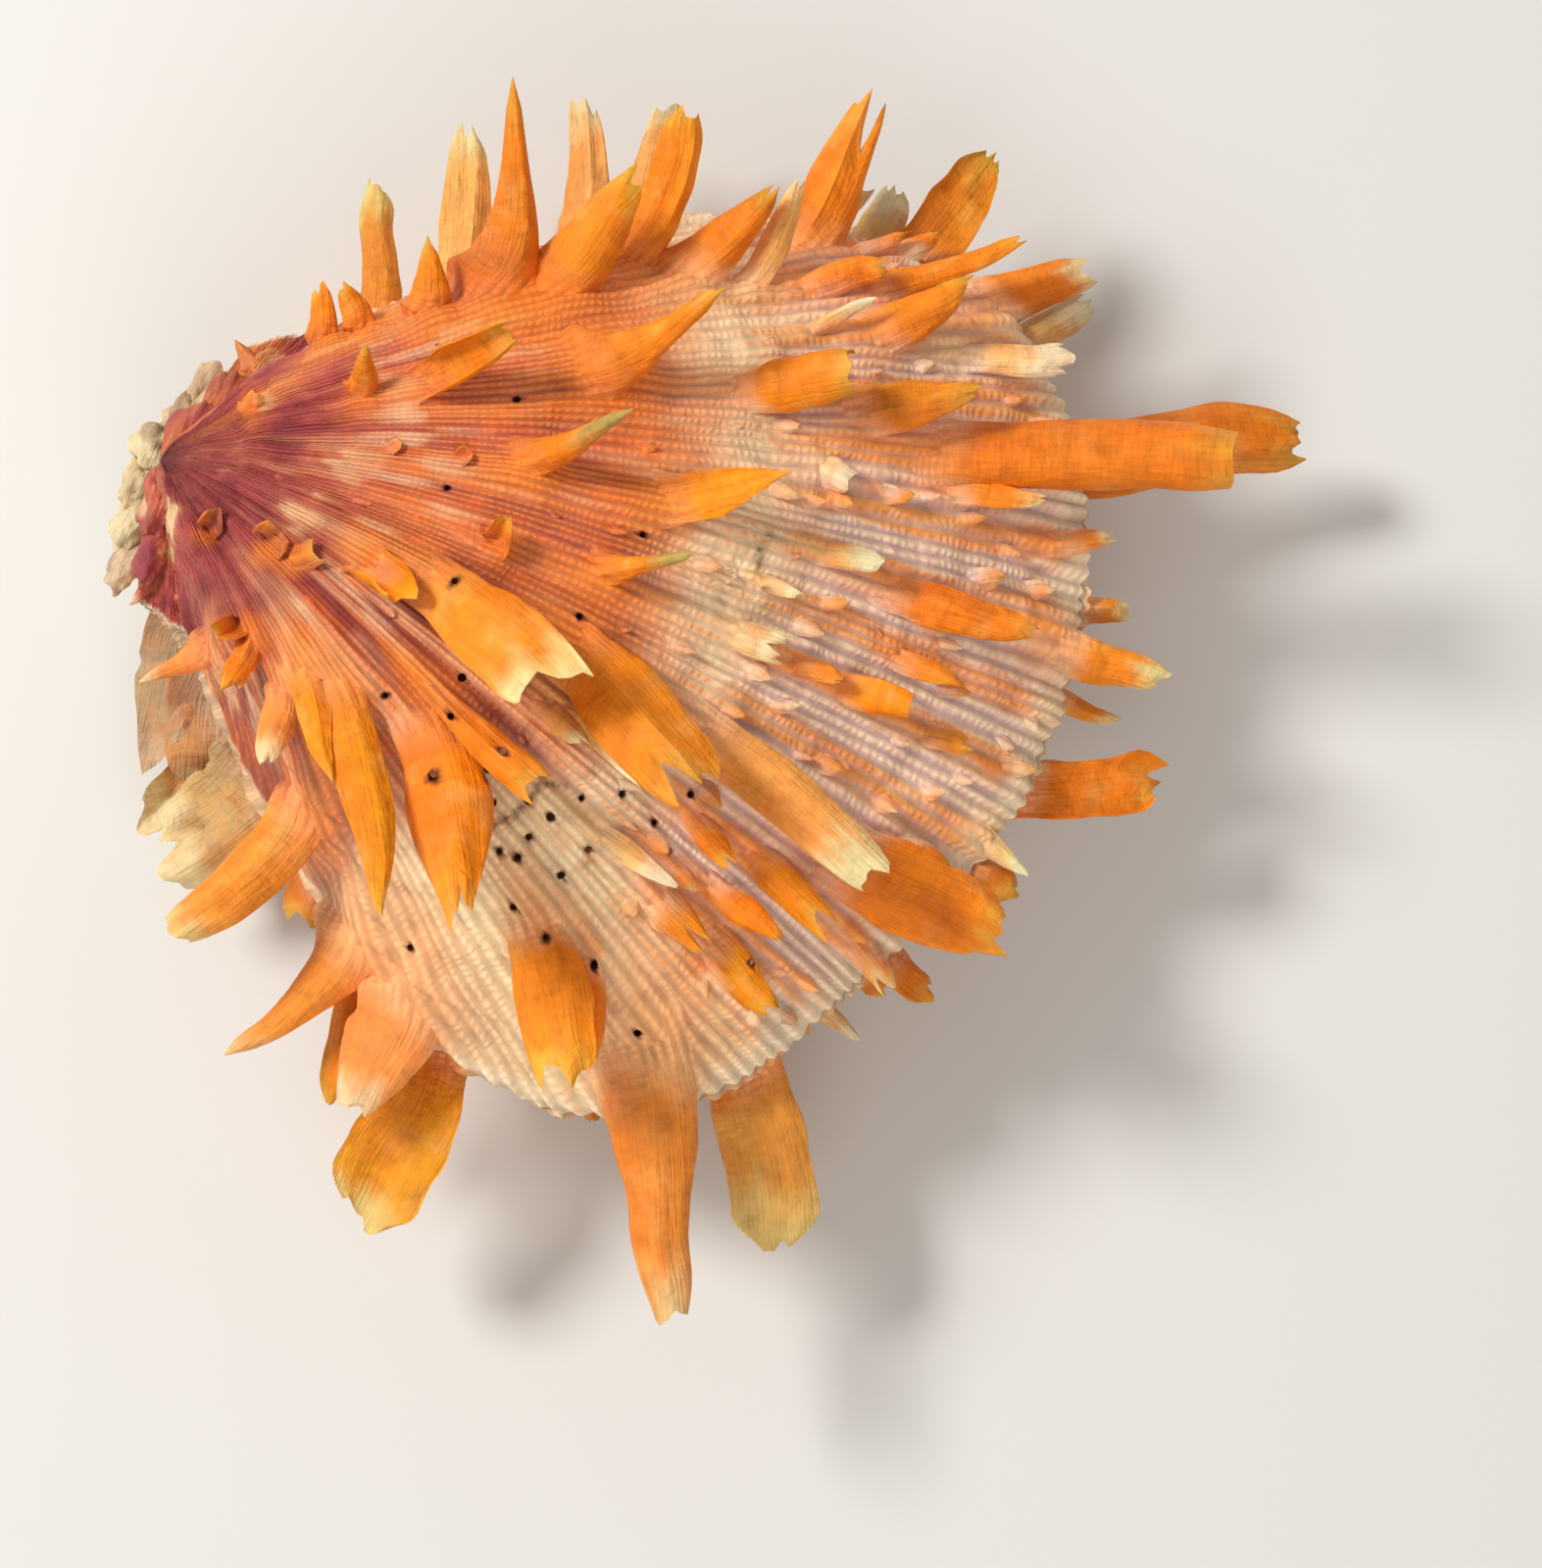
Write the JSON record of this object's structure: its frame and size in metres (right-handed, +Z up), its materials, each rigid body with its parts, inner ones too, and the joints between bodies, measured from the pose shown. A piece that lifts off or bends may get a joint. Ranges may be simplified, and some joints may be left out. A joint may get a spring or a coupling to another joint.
{
  "type": "thorny oyster shell",
  "caption": "Closed bivalve shell with radiating ribs and long flattened spines on both valves, cut flat underneath where it was cemented down.",
  "frame": {"origin": "middle of the flat scar under the lower valve, where the shell was cemented to rock and now rests", "axes": "+Z up through the shell, square to the scar; +X along the midline, from the hinge towards the far margin"},
  "size_m": [0.111, 0.1287, 0.0612],
  "materials": {
    "upper_shell": "satin",
    "lower_shell": "satin",
    "ligament": "satin"
  },
  "bodies": {
    "root": {"upper_valve": "upper_shell", "lower_valve": "lower_shell", "hinge_ligament": "ligament"}
  },
  "joints": []
}
